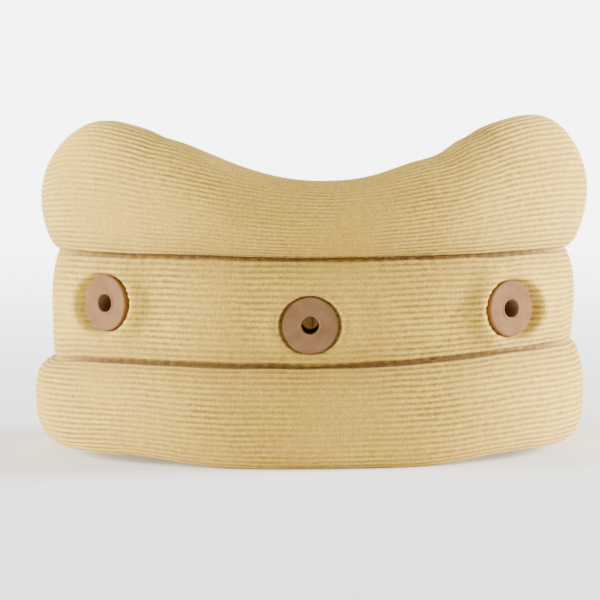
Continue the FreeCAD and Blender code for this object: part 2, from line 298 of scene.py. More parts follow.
def seam_low_z(s):
    """The lower stitched row climbs on the right."""
    left = 0.6 * ease(-s, 15, 50) - 1.8 * ease(-s, 62, 88) + 1.2 * ease(-s, 95, 150)
    return 30.0 + left + 3.4 * ease(s, 8, 72) - 2.4 * ease(s, 95, 150)


def seam_high_z(s):
    return 61.7 + 0.6 * ease(-s, 0, 30) - 1.2 * ease(np.abs(s), 105, 150)


def foot_lift(s):
    """The lower roll leaves the floor a little under each side of the jaw."""
    return 2.95 * (ease(-s, 20, 52) + ease(s, 24, 62)) * (1 - ease(np.abs(s), 96, 130))


def section_curves(s, inset):
    """The section at each s, as a list of panels, each a list of control point arrays.

    Panels run from the underside up the outer face, over the crest, down the inner
    face and back along the underside."""
    past = np.clip((np.abs(s) - (END_AT - TAPER)) / TAPER, 0, 2) ** TAPER_POWER
    squeeze = 1 - TAPER_SHARE * past
    left, right = ease(-s, 55, 95), ease(s, 55, 95)
    half = (ROLL_HALF - 0.6 * left + 0.9 * right) * squeeze - inset
    low_half = (ROLL_HALF + 1.9 * left - 0.4 * right) * squeeze - inset
    top = crest_z(s) - TAPER_CREST * past - inset
    foot = TAPER_FOOT * past + foot_lift(s) + inset
    flat = FOOT_FLAT * squeeze
    low, high = seam_low_z(s), seam_high_z(s)
    low_root = LOW_ROOT * squeeze - inset
    high_root = HIGH_ROOT * squeeze - inset
    seam_in = INNER_ROOT * squeeze - inset
    crown = BAND_OUT + BAND_CROWN * (1 - ease(np.abs(s), 70, 98))
    crown = crown * squeeze - inset
    band_in = INNER_BAND_OUT * squeeze - inset
    bulge = high + HIGH_BULGE_SHARE * (top - high)
    rise = top - bulge
    climb = bulge - high
    round_z = LOW_BULGE_Z - ROUND * (LOW_BULGE_Z - foot)
    zero = 0 * s

    def curve(*points):
        """One cubic for each section, from four control points (out, z)."""
        return np.stack([np.stack([out + zero, z + zero], axis=-1) for out, z in points], axis=1)

    # Points that two curves share; "in" marks the side towards the neck.
    rest, rest_in = (flat, foot), (-flat, foot)
    low_wide, low_wide_in = (low_half, LOW_BULGE_Z), (-half, LOW_BULGE_Z)
    low_seam, low_seam_in = (low_root, low), (-seam_in, low)
    high_seam, high_seam_in = (high_root, high), (-seam_in, high)
    high_wide, high_wide_in = (half, bulge), (-half, bulge)
    peak = (zero, top)
    low_outer = [
        curve(rest, (0.8 * low_half, foot), (low_half, round_z), low_wide),
        curve(low_wide, (low_half, LOW_TURN_Z), (low_half - 0.7, low - 0.5), low_seam),
    ]
    band = [curve(low_seam, (crown + 0.7, low + 0.2), (crown, high - 0.9), high_seam)]
    high_outer = [
        curve(high_seam, (half - 2.4, high), (half, bulge - 0.42 * climb), high_wide),
        curve(high_wide, (half, bulge + ROUND * rise), (ROUND * half, top), peak),
    ]
    high_inner = [
        curve(peak, (-ROUND * half, top), (-half, bulge + ROUND * rise), high_wide_in),
        curve(high_wide_in, (-half, bulge - 0.45 * climb), (1.0 - half, high + 0.4), high_seam_in),
    ]
    inner_band = [curve(high_seam_in, (-band_in, high - 3), (-band_in, low + 3), low_seam_in)]
    low_inner = [
        curve(low_seam_in, (0.6 - half, low - 1.6), (-half, LOW_TURN_Z), low_wide_in),
        curve(low_wide_in, (-half, round_z), (-0.8 * half, foot), rest_in),
    ]
    underside = [curve(rest_in, (-flat / 3, foot), (flat / 3, foot), rest)]
    return [low_outer, band, high_outer, high_inner, inner_band, low_inner, underside]


def bezier(points, t):
    """Cubic curves (n, 4, 2) sampled at t: (n, len(t), 2)."""
    weights = np.stack([(1 - t) ** 3, 3 * t * (1 - t) ** 2, 3 * t**2 * (1 - t), t**3])
    return np.einsum("nkc,kt->ntc", points, weights)


def section_rows(s, inset, rows_per_panel):
    """(out, z) of the section at each s, rows spaced evenly within each panel."""
    t = np.linspace(0, 1, 33)
    panels = []
    for curves, rows in zip(section_curves(s, inset), rows_per_panel):
        parts = [bezier(points, t) for points in curves]
        line = np.concatenate(parts[:1] + [part[:, 1:] for part in parts[1:]], axis=1)
        steps = np.linalg.norm(np.diff(line, axis=1), axis=-1)
        length = np.concatenate([np.zeros((len(s), 1)), np.cumsum(steps, axis=1)], axis=1)
        share = np.arange(rows) / rows
        even = np.empty((len(s), rows, 2))
        for i in range(len(s)):
            want = share * length[i, -1]
            for axis in (0, 1):
                even[i, :, axis] = np.interp(want, length[i], line[i, :, axis])
        panels.append(even)
    return np.concatenate(panels, axis=1)


# ---- the cover


def box_middle(name):
    """Middle of a CAD node's box, in millimetres."""
    low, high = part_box(name)
    return (low + high) / 2 / MM


def eyelet_spots():
    """s and height of each eyelet."""
    spots = []
    table = np.linspace(-95, 95, 1901)
    _, _, nx, ny = plan(table)
    for name in EYELET_NAMES:
        middle = box_middle("eyelet_" + name)
        washer = box_middle("eyelet_washer_" + name)
        across = place(table, 0, middle.z)[:, :2] - np.array(washer)[:2]
        off = np.abs(across[:, 0] * ny - across[:, 1] * nx)
        near = np.hypot(across[:, 0], across[:, 1]) < 20
        i = int(np.argmin(np.where(near, off, np.inf)))
        spots.append((float(table[i]), middle.z))
    return spots


EYELETS = eyelet_spots()


def from_eyelets(s, z):
    """The s of each eyelet, with the distance to it from every place on the wall."""
    for at, height in EYELETS:
        yield at, np.hypot(s - at, z - height)


def columns():
    """Every s at which the cover has a column: closer together round the eyelets."""
    last = END_AT - 0.4
    s = -last
    values = []
    while s < last - 0.6:
        values.append(s)
        near = min(abs(s - at) for at, _ in EYELETS) < FINE_REACH
        step = FINE_STEP if near else COLUMN_STEP
        ahead = [mark for mark in (-CUT_AT, CUT_AT) if s + 0.2 < mark < s + 1.6 * step]
        s = ahead[0] if ahead else s + step
    values.append(last)
    return np.array(values)


def noise_field(seed, count, low, high):
    """A smooth repeatable random function of two lengths in millimetres."""
    rng = np.random.default_rng(seed)
    waves = rng.uniform(low, high, count)
    angles = rng.uniform(0, 2 * math.pi, count)
    phases = rng.uniform(0, 2 * math.pi, count)

    def field(a, b):
        total = 0.0
        for wave, angle, phase in zip(waves, angles, phases):
            k = 2 * math.pi / wave
            total = total + np.sin(k * (a * math.cos(angle) + b * math.sin(angle)) + phase)
        return total / math.sqrt(count)

    return field


def unit(vectors):
    return vectors / np.maximum(np.linalg.norm(vectors, axis=-1, keepdims=True), 1e-9)


def grid_normals(points):
    """Unit normals of a grid (columns, rows, 3) whose rows close into a loop."""
    along = np.gradient(points, axis=0)
    around = np.roll(points, -1, axis=1) - np.roll(points, 1, axis=1)
    return unit(np.cross(along, around))


def panel_of_rows(rows_per_panel):
    return np.repeat(np.arange(len(rows_per_panel)), rows_per_panel)


GATHER_NOISE = noise_field(13, 6, 9, 40)
SWELL = noise_field(11, 9, 26, 70)
SWAY = noise_field(12, 9, 40, 90)


def gathers(s, z, seam_z, depth):
    """Small gathers at each stitch of a row, fading away from it."""
    near = np.exp(-np.abs(z - seam_z) / 2.6)
    uneven = 1 + 0.5 * GATHER_NOISE(s, 0 * s)
    return -depth * uneven * near * (0.5 + 0.5 * np.cos(2 * math.pi * s / STITCH_PITCH))


def outward_share(s, distance, at):
    """1 on the side of a side eyelet that faces away from the front centre, -1 on the other."""
    share = math.copysign(1.0, at) * (s - at) / np.maximum(distance, 0.1)
    return share * ease(abs(at), 20, 40)


def eyelet_dimple(out, s, at, distance):
    """Draws the band in round one eyelet: flat under the flange, a steep wall, a soft ridge."""
    share = outward_share(s, distance, at)
    outward, inward = np.maximum(share, 0), np.maximum(-share, 0)
    reach = DIMPLE_REACH + DIMPLE_SLACK * outward
    dish = 1 - ease(distance, DIMPLE_START, reach)
    ridge = (DIMPLE_RIDGE + 0.8 * outward + 1.7 * inward) * bump(distance, reach + 0.6, 3.4)
    raised = out + ridge
    return raised + (DIMPLE_FLOOR - raised) * dish


def under_tape(s):
    """1 where the end tape covers the knit, which lies flat there, 0 elsewhere."""
    return ease(np.abs(s), END_AT - 11, END_AT - 7.5)


def cover_surface(s, rows_per_panel, inset=0.0):
    """Smooth surface of the cover: points (columns, rows, 3), with their out and z."""
    section = section_rows(s, inset, rows_per_panel)
    out, z = section[..., 0].copy(), section[..., 1].copy()
    grid_s = np.broadcast_to(s[:, None], out.shape)
    panel = panel_of_rows(rows_per_panel)[None, :]
    sides = np.where(out >= 0, 1.0, -1.0)
    away = np.minimum(np.abs(z - seam_low_z(grid_s)), np.abs(z - seam_high_z(grid_s)))
    loose = 1 - under_tape(grid_s)
    free = ease(away, 0.5, 7) * ease(z, 3, 9) * loose
    out += sides * free * (0.28 * SWELL(grid_s, z * 1.3))
    z += free * 0.25 * SWAY(grid_s, z * 0.6) * ease(z, 62, 75)
    for seam, depth in ((seam_low_z, 0.30), (seam_high_z, 0.34)):
        out += sides * loose * gathers(grid_s, z, seam(grid_s), depth)
    for at, distance in from_eyelets(grid_s, z):
        if inset == 0.0:
            out = np.where(panel == BAND_PANEL, eyelet_dimple(out, grid_s, at, distance), out)
            dish = 1 - ease(distance, 7.4, 11.0)
            out = np.where(panel == INNER_BAND_PANEL, out + (INNER_FLOOR - out) * dish, out)
        else:
            dish = 1 - ease(distance, 11.0, 16.0)
            out = np.where(panel == BAND_PANEL, out + (DIMPLE_FLOOR - inset - out) * dish, out)
    x, y, nx, ny = (part[:, None] for part in plan(s))
    return np.stack([x + nx * out, y + ny * out, z], axis=-1), out, z


def rib_blur(s, z):
    """How much the painted rib shade is evened out to the plain colour: most in the middle of the
    upper roll, least on the right.
    """
    side = 0.85 - 0.50 * ease(s, 5, 45)
    middle = 0.45 * ease(z, 60, 66) * bump(s, -16, 34)
    return np.clip(side + middle, 0, 1)


def rib_relief(points, s, rows, calm):
    """Raises the ribs of the knit, except where it is calm, and lets them wander a little."""
    rib = (np.arange(rows) / ROWS_PER_RIB)[None, :]
    along = s[:, None]
    profile = 0.5 - 0.5 * np.cos(2 * math.pi * rib)
    whole_rib = np.floor(rib)
    uneven = 1 + 0.16 * noise_field(21, 8, 5, 30)(along, whole_rib * 37.0)
    patches = 1 + 0.22 * noise_field(22, 7, 18, 50)(along, rib * 1.6)
    wander = RIB_WANDER * noise_field(23, 9, 9, 45)(along, rib * 2.2)
    lift = grid_normals(points)
    around = unit(np.roll(points, -1, axis=1) - np.roll(points, 1, axis=1))
    height = RIB_HEIGHT * profile * uneven * patches * (1 - calm)
    return points + lift * height[..., None] + around * wander[..., None]


# ---- cloth simulation


def cubic_weights(x, count, wrap):
    """Matrix (len(x), count) that samples a smooth curve through evenly numbered points."""
    base = np.floor(x).astype(int)
    t = x - base
    weights = (
        -0.5 * t + t**2 - 0.5 * t**3,
        1 - 2.5 * t**2 + 1.5 * t**3,
        0.5 * t + 2 * t**2 - 1.5 * t**3,
        -0.5 * t**2 + 0.5 * t**3,
    )
    matrix = np.zeros((len(x), count))
    for k, weight in enumerate(weights):
        index = base + k - 1
        index = index % count if wrap else np.clip(index, 0, count - 1)
        np.add.at(matrix, (np.arange(len(x)), index), weight)
    return matrix


def simulate_cover():
    """How far each point of a coarse cover moves when the foam presses the cloth outwards.

    The cloth is held along the stitched rows, underneath, at the ends and at the eyelets."""
    s = np.linspace(-END_AT, END_AT, SIM_COLUMNS)
    points, _, z = cover_surface(s, SIM_ROWS)
    rows = sum(SIM_ROWS)
    obj = make_mesh("cover_cloth", points, grid_faces(SIM_COLUMNS, rows), None)
    panel = panel_of_rows(SIM_ROWS)
    first_row = np.concatenate([[True], panel[1:] != panel[:-1]])
    sewn = first_row & (panel != CREST_PANEL)
    held = np.broadcast_to(sewn | (panel == len(SIM_ROWS) - 1), z.shape).copy()
    held[:2] = True
    held[-2:] = True
    for _, distance in from_eyelets(s[:, None], z):
        held |= (distance < DIMPLE_REACH) & np.isin(panel, BANDS)
    pins = obj.vertex_groups.new(name="pins")
    pins.add([int(i) for i in np.where(held.ravel())[0]], 1.0, "REPLACE")
    slack = obj.vertex_groups.new(name="slack")
    loose = 0.5 + 0.5 * np.tanh(noise_field(41, 8, 14, 40)(s[:, None], z))
    for index, weight in enumerate(loose.ravel()):
        slack.add([index], float(weight), "REPLACE")
    cloth = obj.modifiers.new("cloth", "CLOTH")
    settings = cloth.settings
    settings.quality = 5
    settings.vertex_group_mass = "pins"
    settings.use_pressure = True
    settings.uniform_pressure_force = SIM_PRESSURE
    settings.vertex_group_shrink = "slack"
    settings.shrink_min = 0.0
    settings.shrink_max = -SIM_SLACK
    settings.effector_weights.gravity = 0.0
    cloth.collision_settings.use_collision = False
    cloth.point_cache.frame_start = 1
    cloth.point_cache.frame_end = SIM_FRAMES
    for step in range(1, SIM_FRAMES + 1):
        bpy.context.scene.frame_set(step)
    result = obj.evaluated_get(bpy.context.evaluated_depsgraph_get())
    moved = np.empty(points.size)
    result.data.vertices.foreach_get("co", moved)
    moved = moved.reshape(points.shape) / MM - points
    cloth_mesh = obj.data
    bpy.data.objects.remove(obj)
    bpy.data.meshes.remove(cloth_mesh)
    bpy.context.scene.frame_set(1)
    moved -= moved.mean(axis=0, keepdims=True)
    length = np.linalg.norm(moved, axis=-1, keepdims=True)
    return moved * np.minimum(1, SIM_CAP / np.maximum(length, 1e-9)) * ~held[..., None]


def settled(points, s, rows_per_panel, cloth_moves):
    """Carries the simulated moves of the coarse cover over to a finer grid."""
    if cloth_moves is None:
        return points
    column = (s + END_AT) / (2 * END_AT) * (SIM_COLUMNS - 1)
    starts = np.cumsum((0,) + SIM_ROWS[:-1])
    row = np.concatenate([
        start + coarse * np.arange(fine) / fine
        for start, coarse, fine in zip(starts, SIM_ROWS, rows_per_panel)
    ])
    across = cubic_weights(np.clip(column, 0, SIM_COLUMNS - 1), SIM_COLUMNS, wrap=False)
    around = cubic_weights(row, sum(SIM_ROWS), wrap=True)
    moves = np.einsum("ia,abc,jb->ijc", across, cloth_moves, around, optimize=True)
    return points + moves


# ---- meshes


def make_mesh(name, points, faces, material, normals=None):
    mesh = bpy.data.meshes.new(name)
    corners = points.reshape(-1, 3) * MM
    mesh.from_pydata([tuple(p) for p in corners], [], [tuple(f) for f in faces])
    mesh.validate()
    mesh.shade_smooth()
    if normals is not None:
        mesh.normals_split_custom_set_from_vertices([tuple(n) for n in normals])
    obj = bpy.data.objects.new(name, mesh)
    bpy.context.scene.collection.objects.link(obj)
    if material is not None:
        obj.data.materials.append(material)
    return obj


def add_attribute(obj, name, values):
    attribute = obj.data.attributes.new(name, "FLOAT", "POINT")
    attribute.data.foreach_set("value", np.asarray(values, np.float32).ravel())


def add_uv(obj, u, v):
    layer = obj.data.uv_layers.new(name="UVMap")
    index = np.empty(len(obj.data.loops), np.int32)
    obj.data.loops.foreach_get("vertex_index", index)
    uv = np.stack([u.ravel()[index], v.ravel()[index]], axis=-1).astype(np.float32)
    layer.data.foreach_set("uv", uv.ravel())


def grid_faces(columns_count, rows, closed=True):
    """Quads of a grid, outward for rows that run up the outer face with s to the right."""
    last = rows if closed else rows - 1
    i, j = np.meshgrid(np.arange(columns_count - 1), np.arange(last), indexing="ij")
    a = i * rows + j
    b = (i + 1) * rows + j
    c = (i + 1) * rows + (j + 1) % rows
    d = i * rows + (j + 1) % rows
    return np.stack([a, b, c, d], axis=-1).reshape(-1, 4)


def bend_wing(obj, side):
    """Bakes the object's transform into its mesh; the stretch where the collar's side turns to the
    back is worked out but not used to bend it.
    """
    x = side * HALF_WIDTH * MM
    start, end = (x, BEND_START_Y * MM, 0.05), (x, BEND_END_Y * MM, 0.05)
    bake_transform(obj)
    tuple(start)
    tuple(end)


def attach(obj, stretch):
    """Rides on the front body; pieces of the wings only have their transform baked."""
    if stretch == "front":
        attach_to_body(obj, "front")
    else:
        bend_wing(obj, -1 if stretch == "left" else 1)


STRETCHES = {"left": (-END_AT, -CUT_AT), "front": (-CUT_AT, CUT_AT), "right": (CUT_AT, END_AT)}


# ---- knit pieces


def knit_grid(s, cloth_moves):
    """Points, normals and material attributes of the knit at every column of s."""
    per_panel = [ribs * ROWS_PER_RIB for ribs in RIBS]
    rows = sum(per_panel)
    smooth, out, z = cover_surface(s, per_panel)
    panel = panel_of_rows(per_panel)
    along = np.broadcast_to(s[:, None], out.shape)
    from_low = np.hypot(out - LOW_ROOT, z - seam_low_z(along))
    from_high = np.hypot(out - HIGH_ROOT, z - seam_high_z(along))
    from_seam = np.minimum(from_low, from_high)
    # Painted shade in the creases at both stitched rows, fading towards the sides, with a soft
    # wider painted shade round them.
    crease_shade = 1 - ease(from_seam, FOLD_DEEP, FOLD_MOUTH)
    crease_shade = crease_shade * (1 - FOLD_SIDE_FADE * ease(np.abs(along), 58, 92))
    crease_shade = np.maximum(crease_shade, FOLD_SOFT * (1 - ease(from_seam, FOLD_MOUTH - 1, FOLD_REACH)))
    calm = under_tape(along)
    on_band = np.isin(panel, BANDS)
    holes = np.zeros(out.shape, bool)
    for at, distance in from_eyelets(along, z):
        holes |= (distance < EYELET_CUT) & on_band
        slack = DIMPLE_SLACK * np.maximum(outward_share(along, distance, at), 0)
        # Painted shade round the eyelet: a dark rim at the flange's edge, wider on the outer side,
        # and a soft painted shade further out.
        rim = RIM_SHADE * (1 - ease(distance, DIMPLE_START, DIMPLE_START + 0.6 + slack))
        soft = RIM_SOFT_SHADE * (1 - ease(distance, DIMPLE_START, SHADE_REACH))
        crease_shade = np.where(panel == BAND_PANEL, np.maximum(crease_shade, np.maximum(rim, soft)), crease_shade)
        flat = 1 - ease(distance, DIMPLE_START, DIMPLE_START + DIMPLE_SLACK)
        calm = np.where(on_band, np.maximum(calm, flat), calm)
    points = rib_relief(settled(smooth, s, per_panel, cloth_moves), s, rows, calm)
    points[..., 2] = np.maximum(points[..., 2], 0.0)
    return {
        "points": points,
        "normals": grid_normals(points),
        "wale": np.broadcast_to(np.arange(rows) / ROWS_PER_RIB, out.shape),
        "along": along,
        "crease_shade": crease_shade,
        "blur": rib_blur(along, z),
        "holes": holes,
        "panel": panel,
    }


def knit_piece(name, grid, columns_kept, rows_kept, drop_faces, material, stretch):
    """One piece of the knit, cut out of a grid."""
    area = np.ix_(columns_kept, rows_kept)
    closed = len(rows_kept) == grid["points"].shape[1]
    faces = grid_faces(len(columns_kept), len(rows_kept), closed)
    dropped = (grid["holes"] | drop_faces[None, :])[area].ravel()
    faces = faces[~dropped[faces].any(axis=1)]
    used, faces = np.unique(faces, return_inverse=True)
    faces = faces.reshape(-1, 4)

    def cut(key):
        values = grid[key][area]
        return values.reshape(-1, *values.shape[2:])[used]

    obj = make_mesh(name, cut("points"), faces, material, cut("normals"))
    for attribute in KNIT_ATTRIBUTES:
        add_attribute(obj, attribute, cut(attribute))
    along = cut("along")
    add_uv(obj, np.interp(along, (along.min(), along.max()), (0, 1)), cut("wale") / sum(RIBS))
    attach(obj, stretch)
    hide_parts("knit_sleeve_" + stretch)


def knit_cover(material, cloth_moves):
    """The ribbed sleeve: two rolls and back at the front, its middle band, and the two wings."""
    grid = knit_grid(columns(), cloth_moves)
    s = grid["along"][:, 0]
    panel = grid["panel"]
    rows = len(panel)
    all_rows = np.arange(rows)
    nothing = np.zeros(rows, bool)
    band_rows = np.where(panel == BAND_PANEL)[0]
    inside_band = nothing.copy()
    inside_band[band_rows[BAND_TUCK:-BAND_TUCK]] = True
    for stretch, (low, high) in STRETCHES.items():
        kept = np.where((s >= low - 0.01) & (s <= high + 0.01))[0]
        dropped = inside_band if stretch == "front" else nothing
        knit_piece("knit_cover_" + stretch, grid, kept, all_rows, dropped, material, stretch)
    fine = knit_grid(np.linspace(-CUT_AT, CUT_AT, BAND_COLUMNS), cloth_moves)
    kept = np.arange(BAND_COLUMNS)
    tucked = np.arange(band_rows[0] - BAND_TUCK, band_rows[-1] + BAND_TUCK + 1)
    knit_piece("knit_band_front", fine, kept, tucked, nothing, material, "front")


# ---- materials

WHITE = (1.0, 1.0, 1.0)
BLACK = (0.0, 0.0, 0.0)
# Knit colours from groove to rib top: painted shade in the grooves, a painted highlight on the rib
# tops.
KNIT_GROOVE_SHADE = (0.31, 0.19, 0.026)
KNIT_FLANK = (0.57, 0.365, 0.052)
KNIT_RIDGE_LIT = (0.77, 0.545, 0.091)
KNIT_PLAIN = (0.60, 0.39, 0.058)
FOLD_SHADE = (0.24, 0.17, 0.12)


class Nodes:
    """Short helpers for one procedural material."""

    def __init__(self, name):
        self.material = bpy.data.materials.new(name)
        self.material.use_nodes = True
        self.tree = self.material.node_tree
        self.shader = self.tree.nodes["Principled BSDF"]

    def add(self, kind, **settings):
        node = self.tree.nodes.new(kind)
        for key, value in settings.items():
            setattr(node, key, value)
        return node

    def fill(self, node, values):
        """Sets sockets of a node to numbers or colours, or links them to other sockets."""
        for key, value in values.items():
            socket = node.inputs[key]
            if isinstance(value, (int, float)):
                socket.default_value = value
            elif isinstance(value, tuple):
                socket.default_value = (*value, 1.0)
            else:
                self.tree.links.new(value, socket)

    def maths(self, operation, *values):
        node = self.add("ShaderNodeMath", operation=operation)
        self.fill(node, dict(enumerate(values)))
        return node.outputs[0]

    def attribute(self, name):
        return self.add("ShaderNodeAttribute", attribute_name=name).outputs["Fac"]

    def position(self):
        return self.add("ShaderNodeTexCoord").outputs["Object"]

    def texture(self, kind, output, **values):
        """A texture by object place, unless another vector is given."""
        if "Vector" not in values:
            values["Vector"] = self.position()
        node = self.add("ShaderNodeTex" + kind)
        self.fill(node, values)
        return node.outputs[output]

    def noise(self, scale, detail, **values):
        return self.texture("Noise", "Fac", Scale=scale, Detail=detail, **values)

    def ramp(self, factor, stops):
        node = self.add("ShaderNodeValToRGB")
        while len(node.color_ramp.elements) < len(stops):
            node.color_ramp.elements.new(0.5)
        for element, (at, colour) in zip(node.color_ramp.elements, stops):
            element.position = at
            element.color = (*colour, 1.0)
        self.fill(node, {"Fac": factor})
        return node.outputs["Color"]

    def mix(self, factor, a, b, blend="MIX"):
        node = self.add("ShaderNodeMix", data_type="RGBA", blend_type=blend)
        self.fill(node, {"Factor": factor, "A": a, "B": b})
        return node.outputs["Result"]

    def tint(self, base, factor, low, high, shade):
        """Multiplies a colour by a shade where the factor is low, and leaves it where high."""
        return self.mix(1.0, base, self.ramp(factor, [(low, shade), (high, WHITE)]), "MULTIPLY")

    def bump(self, height, strength, distance):
        node = self.add("ShaderNodeBump")
        self.fill(node, {"Height": height, "Strength": strength, "Distance": distance})
        self.fill(self.shader, {"Normal": node.outputs["Normal"]})

    def finish(self, colour, roughness, sheen=0.0, specular=0.3):
        self.fill(self.shader, {
            "Base Color": colour,
            "Roughness": roughness,
            "Sheen Weight": sheen,
            "Sheen Roughness": 0.6,
            "Specular IOR Level": specular,
        })
        return self.material


def knit_material():
    """Beige rib knit: painted shade in the grooves and a painted highlight on the rib tops, a
    stocking stitch along each rib, and painted shade in the creases and round the eyelets.
    """
    n = Nodes("knit")
    wale, along, crease_shade, blur = (n.attribute(name) for name in KNIT_ATTRIBUTES)
    in_rib = n.maths("FRACT", wale)
    ridge = n.maths("SINE", n.maths("MULTIPLY", in_rib, math.pi))
    thread_place = n.add("ShaderNodeCombineXYZ")
    own_rib = n.maths("MULTIPLY", n.maths("ROUND", wale), 7.3)
    n.fill(thread_place, {"X": n.maths("MULTIPLY", along, 0.55), "Y": own_rib})
    broken = n.noise(1.0, 2, Vector=thread_place.outputs["Vector"])
    filled = n.maths("MULTIPLY_ADD", broken, 1.2, -0.53)
    slant = n.maths("ABSOLUTE", n.maths("SUBTRACT", in_rib, 0.5))
    loops = n.maths("ADD", n.maths("DIVIDE", along, COURSE), n.maths("MULTIPLY", slant, 0.9))
    course = n.maths("SINE", n.maths("MULTIPLY", loops, 2 * math.pi))
    course_share = n.maths("MULTIPLY_ADD", course, 0.5, 0.5)
    fuzz = n.noise(1600, 3)
    tone = n.maths("ADD", n.maths("MULTIPLY", ridge, ridge), filled)
    # Ramp across each rib: painted shade in the groove and a painted highlight on the rib top,
    # broken up by noise.
    rib_light_and_shade = n.ramp(tone, [(0.0, KNIT_GROOVE_SHADE), (0.5, KNIT_FLANK), (1.0, KNIT_RIDGE_LIT)])
    rib_fade_patches = n.ramp(n.noise(45, 3), [(0.30, BLACK), (0.62, WHITE)])
    # Patches where the painted rib shade is mixed away to the plain colour.
    base = n.mix(n.maths("MULTIPLY", rib_fade_patches, blur), rib_light_and_shade, KNIT_PLAIN)
    base = n.tint(base, n.noise(28, 3), 0.3, 0.7, (0.90, 0.885, 0.86))
    base = n.tint(base, fuzz, 0.34, 0.64, (0.70, 0.67, 0.58))
    base = n.tint(base, course_share, 0.0, 0.6, (0.955, 0.95, 0.93))
    # Painted shade in the creases and round the eyelets, multiplied into the knit colour.
    crease_shaded = n.ramp(crease_shade, [(0.0, WHITE), (1.0, FOLD_SHADE)])
    base = n.mix(1.0, base, crease_shaded, "MULTIPLY")
    height = n.maths("ADD", n.maths("MULTIPLY", ridge, 0.4), n.maths("MULTIPLY", course_share, 0.2))
    height = n.maths("ADD", height, n.maths("MULTIPLY", fuzz, 0.5))
    n.bump(height, 0.55, 0.0003)
    return n.finish(base, 0.92, sheen=0.08, specular=0.12)


def plastic_material():
    n = Nodes("eyelet_plastic")
    mottled = n.noise(260, 3)
    colour = n.ramp(mottled, [(0.35, (0.176, 0.090, 0.041)), (0.65, (0.216, 0.115, 0.054))])
    n.bump(n.noise(2400, 2), 0.12, 0.0001)
    return n.finish(colour, 0.8, specular=0.0)


def foam_material():
    n = Nodes("foam")
    cell = n.texture("Voronoi", "Distance", Scale=900)
    colour = n.ramp(cell, [(0.0, (0.62, 0.56, 0.40)), (0.6, (0.83, 0.78, 0.62))])
    n.bump(cell, 0.6, 0.0004)
    return n.finish(colour, 0.95, specular=0.1)


def plate_material():
    n = Nodes("plate")
    grain = n.noise(400, 3)
    colour = n.ramp(grain, [(0.3, (0.74, 0.72, 0.66)), (0.7, (0.80, 0.78, 0.72))])
    n.bump(grain, 0.2, 0.0001)
    return n.finish(colour, 0.5, specular=0.4)


def thread_material():
    n = Nodes("thread")
    twist = n.texture("Wave", "Fac", Scale=900)
    twist.node.bands_direction = "DIAGONAL"
    colour = n.ramp(twist, [(0.0, (0.19, 0.115, 0.035)), (1.0, (0.33, 0.205, 0.065))])
    n.bump(twist, 0.3, 0.0001)
    return n.finish(colour, 0.85, specular=0.1)


def weave_material(name, dark, pale, scale):
    """Plain woven tape."""
    n = Nodes(name)
    warp = n.maths("SINE", n.maths("MULTIPLY", n.attribute("across"), scale))
    weft = n.maths("SINE", n.maths("MULTIPLY", n.attribute("along"), scale))
    cell = n.maths("MULTIPLY_ADD", n.maths("MULTIPLY", warp, weft), 0.5, 0.5)
    colour = n.ramp(cell, [(0.0, dark), (0.7, pale)])
    colour = n.tint(colour, n.noise(120, 3), 0.3, 0.7, (0.92, 0.91, 0.9))
    n.bump(cell, 0.5, 0.0003)
    return n.finish(colour, 0.85, sheen=0.25, specular=0.2)


def pile_material(name, dark, pale, scale):
    """Hook or loop pile: a close stipple."""
    n = Nodes(name)
    stipple = n.noise(scale, 4)
    colour = n.ramp(stipple, [(0.35, dark), (0.65, pale)])
    n.bump(stipple, 0.8, 0.0006)
    return n.finish(colour, 0.95, sheen=0.5, specular=0.1)


# ---- foam


def foam_core(material, cloth_moves):
    """The foam, drawn inside the cover."""
    rows = sum(FOAM_ROWS)
    panel = panel_of_rows(FOAM_ROWS)
    on_band = np.isin(panel, BANDS)
    for stretch, (low, high) in STRETCHES.items():
        first = max(low, FOAM_END - END_AT)
        last = min(high, END_AT - FOAM_END)
        s = np.linspace(first, last, round((last - first) / FOAM_COLUMN_STEP))
        points, _, z = cover_surface(s, FOAM_ROWS, inset=FOAM_INSET)
        points = settled(points, s, FOAM_ROWS, cloth_moves)
        holes = np.zeros(z.shape, bool)
        for _, distance in from_eyelets(s[:, None], z):
            holes |= (distance < FOAM_CUT) & on_band
        faces = grid_faces(len(s), rows)
        faces = faces[~holes.ravel()[faces].any(axis=1)]
        obj = make_mesh("foam_" + stretch, points, faces, material)
        attach(obj, stretch)
        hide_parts("foam_core_" + stretch)


# ---- stitches


def stitch_mesh(name, stitches, radius, material):
    """Rounded stitches, from pairs of a line and its normals, that dip into the cloth."""
    all_points, all_faces, start = [], [], 0
    for line, normal in stitches:
        count = len(line)
        share = np.linspace(-1, 1, count)
        width = radius * np.sqrt(np.maximum(1 - (np.abs(share) ** 5), 0.05))
        sink = radius * (0.35 - 1.25 * share**4)
        centre = line + normal * sink[:, None]
        direction = unit(np.gradient(line, axis=0))
        side = unit(np.cross(direction, normal))
        up = np.cross(side, direction)
        for k in range(STITCH_SIDES):
            angle = 2 * math.pi * k / STITCH_SIDES
            ring = centre + (side * math.cos(angle) + up * math.sin(angle)) * width[:, None]
            all_points.append(ring)
        index = start + np.arange(STITCH_SIDES * count).reshape(STITCH_SIDES, count)
        after = np.roll(index, -1, axis=0)
        quads = np.stack([index[:, :-1], index[:, 1:], after[:, 1:], after[:, :-1]], axis=-1)
        all_faces += list(quads.reshape(-1, 4))
        all_faces += [index[::-1, 0], index[:, -1]]
        start += STITCH_SIDES * count
    return make_mesh(name, np.concatenate(all_points), all_faces, material)


